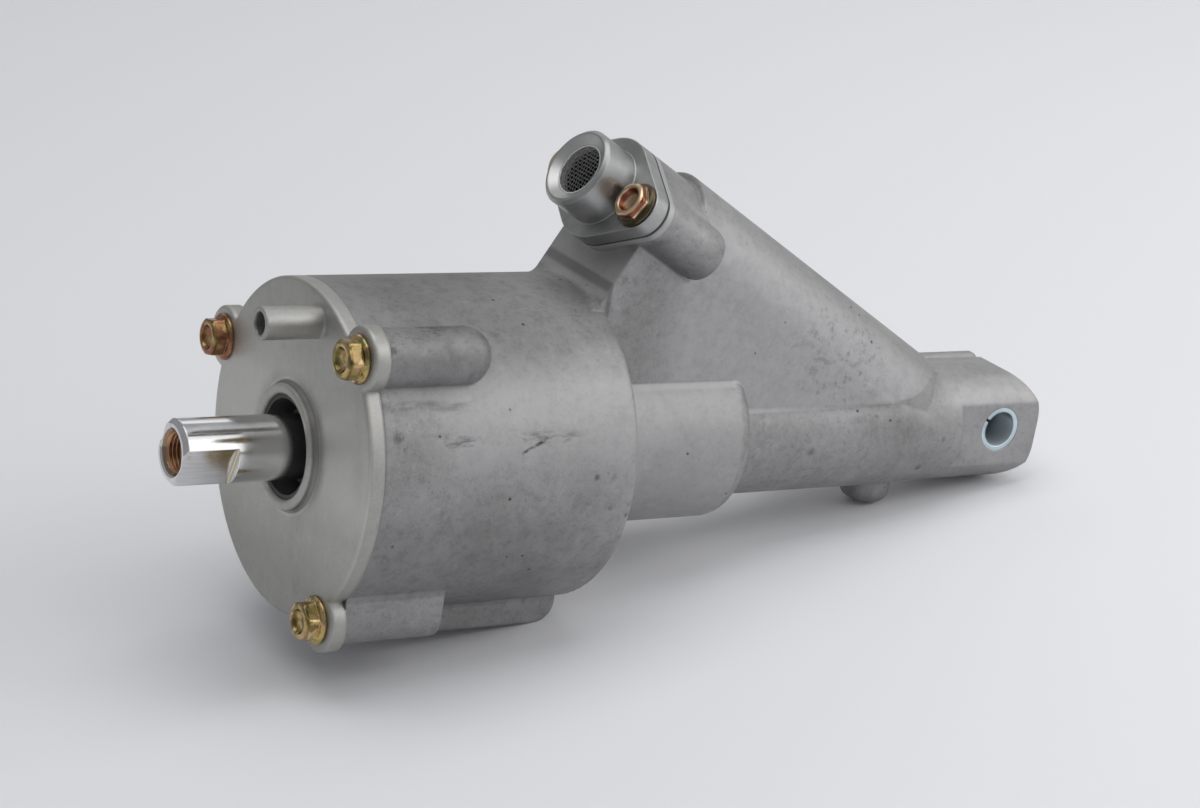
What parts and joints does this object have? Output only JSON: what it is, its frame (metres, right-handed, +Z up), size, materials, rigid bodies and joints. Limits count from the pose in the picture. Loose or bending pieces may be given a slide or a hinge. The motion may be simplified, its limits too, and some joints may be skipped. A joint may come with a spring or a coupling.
{
  "type": "clutch servo",
  "caption": "Air-assisted hydraulic clutch servo: round cylinder with a bolted cover and sliding push rod, slanted valve housing with a flanged air port, and a pivot eye at the tail.",
  "frame": {"origin": "centre of the tail eye, on the eye's axis, midway between its faces", "axes": "+X along the rod axis towards the tail, so the rod moves out along -X; +Y along the tail eye's axis, away from the side with the visible face of the eye; +Z up, towards the air fitting"},
  "size_m": [0.3744, 0.1305, 0.1795],
  "materials": {
    "cast_aluminium": "rough sand-cast surface with darker stains",
    "cover_aluminium": "smooth cast and machined, matt",
    "fitting_aluminium": "machined, satin",
    "machined_aluminium": "machined",
    "yellow_zinc": "yellow passivated zinc plate",
    "copper_zinc": "reddish passivated zinc plate",
    "white_zinc": "blue-white zinc plate",
    "chrome": "hard chrome plate",
    "plain_steel": "ground",
    "spring_steel": "phosphated wire or strip",
    "mesh_steel": "fine woven wire",
    "bush_bronze": "turned bronze",
    "guide_plastic": "filled plastic, matt",
    "gasket": "pressed fibre sheet, matt",
    "rubber": "moulded, matt black"
  },
  "bodies": {
    "housing": {"main_housing": "cast_aluminium", "front_cover": "cover_aluminium", "cover_bolts": "yellow_zinc", "rod_dust_seal": "rubber", "tail_eye_bush": "white_zinc", "air_inlet_fitting": "fitting_aluminium", "inlet_gasket": "gasket", "inlet_screws": "copper_zinc", "inlet_strainer": "mesh_steel", "cover_seal_ring": "rubber", "rod_guide_bush": "bush_bronze", "guide_retaining_ring": "spring_steel", "piston_return_spring": "spring_steel", "gland_bush": "machined_aluminium", "gland_seal": "rubber", "gland_retaining_ring": "spring_steel", "inlet_valve_spring": "spring_steel", "valve_seat": "bush_bronze", "relay_spring": "spring_steel", "bleed_screw": "white_zinc", "bleed_cap": "rubber"},
    "rod": {"push_rod": "chrome", "air_piston": "machined_aluminium", "piston_cup_seal": "rubber", "piston_guide_ring": "guide_plastic", "piston_nut": "plain_steel", "hydraulic_piston": "plain_steel", "hydraulic_cup_seal": "rubber"},
    "relay": {"relay_piston": "machined_aluminium", "relay_piston_seal": "rubber", "pilot_plunger": "plain_steel", "pilot_cup_seal": "rubber"},
    "valve": {"inlet_valve": "plain_steel"}
  },
  "joints": [
    {"name": "rod_slide", "type": "slide", "parent": "housing", "child": "rod", "axis": [-1, 0, 0], "range_m": [0, 0.04], "deforming": ["piston_return_spring"]},
    {"name": "relay_slide", "type": "slide", "parent": "housing", "child": "relay", "axis": [-0.8634, 0, 0.5045], "range_m": [0, 0.0025], "deforming": ["relay_spring"]},
    {"name": "valve_slide", "type": "slide", "parent": "housing", "child": "valve", "axis": [-0.8634, 0, 0.5045], "range_m": [0, 0.0015], "deforming": ["inlet_valve_spring"]}
  ],
  "couplings": [
    {"joint": "valve_slide", "follows": "relay_slide", "ratio": 0.6}
  ]
}
